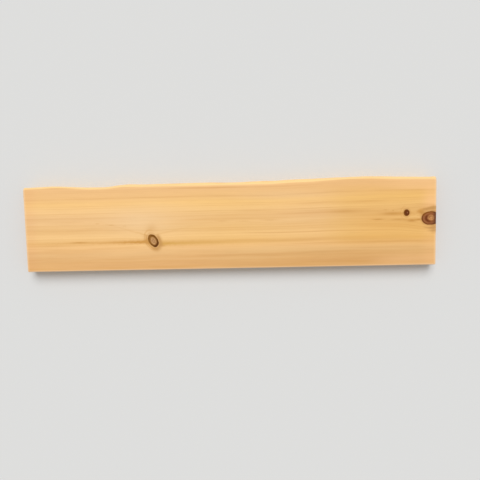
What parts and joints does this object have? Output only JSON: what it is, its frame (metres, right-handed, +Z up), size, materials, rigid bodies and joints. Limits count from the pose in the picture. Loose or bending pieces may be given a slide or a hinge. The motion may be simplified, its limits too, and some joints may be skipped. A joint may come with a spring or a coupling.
{
  "type": "timber plank",
  "caption": "Planed pine plank lying flat, with a waney live edge along a long side, the other long side and both ends sawn square, and eased arrises.",
  "frame": {"origin": "middle of the bounding rectangle of the underside, on the surface the plank lies on", "axes": "+X along the grain, +Y from the sawn edge towards the live edge, +Z up out of the upper face"},
  "size_m": [1.2, 0.261, 0.045],
  "materials": {
    "finished_pine": "planed and sanded knotty pine under a clear satin finish, straight grain along the plank, red-brown knots, paler debarked live edge"
  },
  "bodies": {
    "root": {"plank": "finished_pine"}
  },
  "joints": []
}
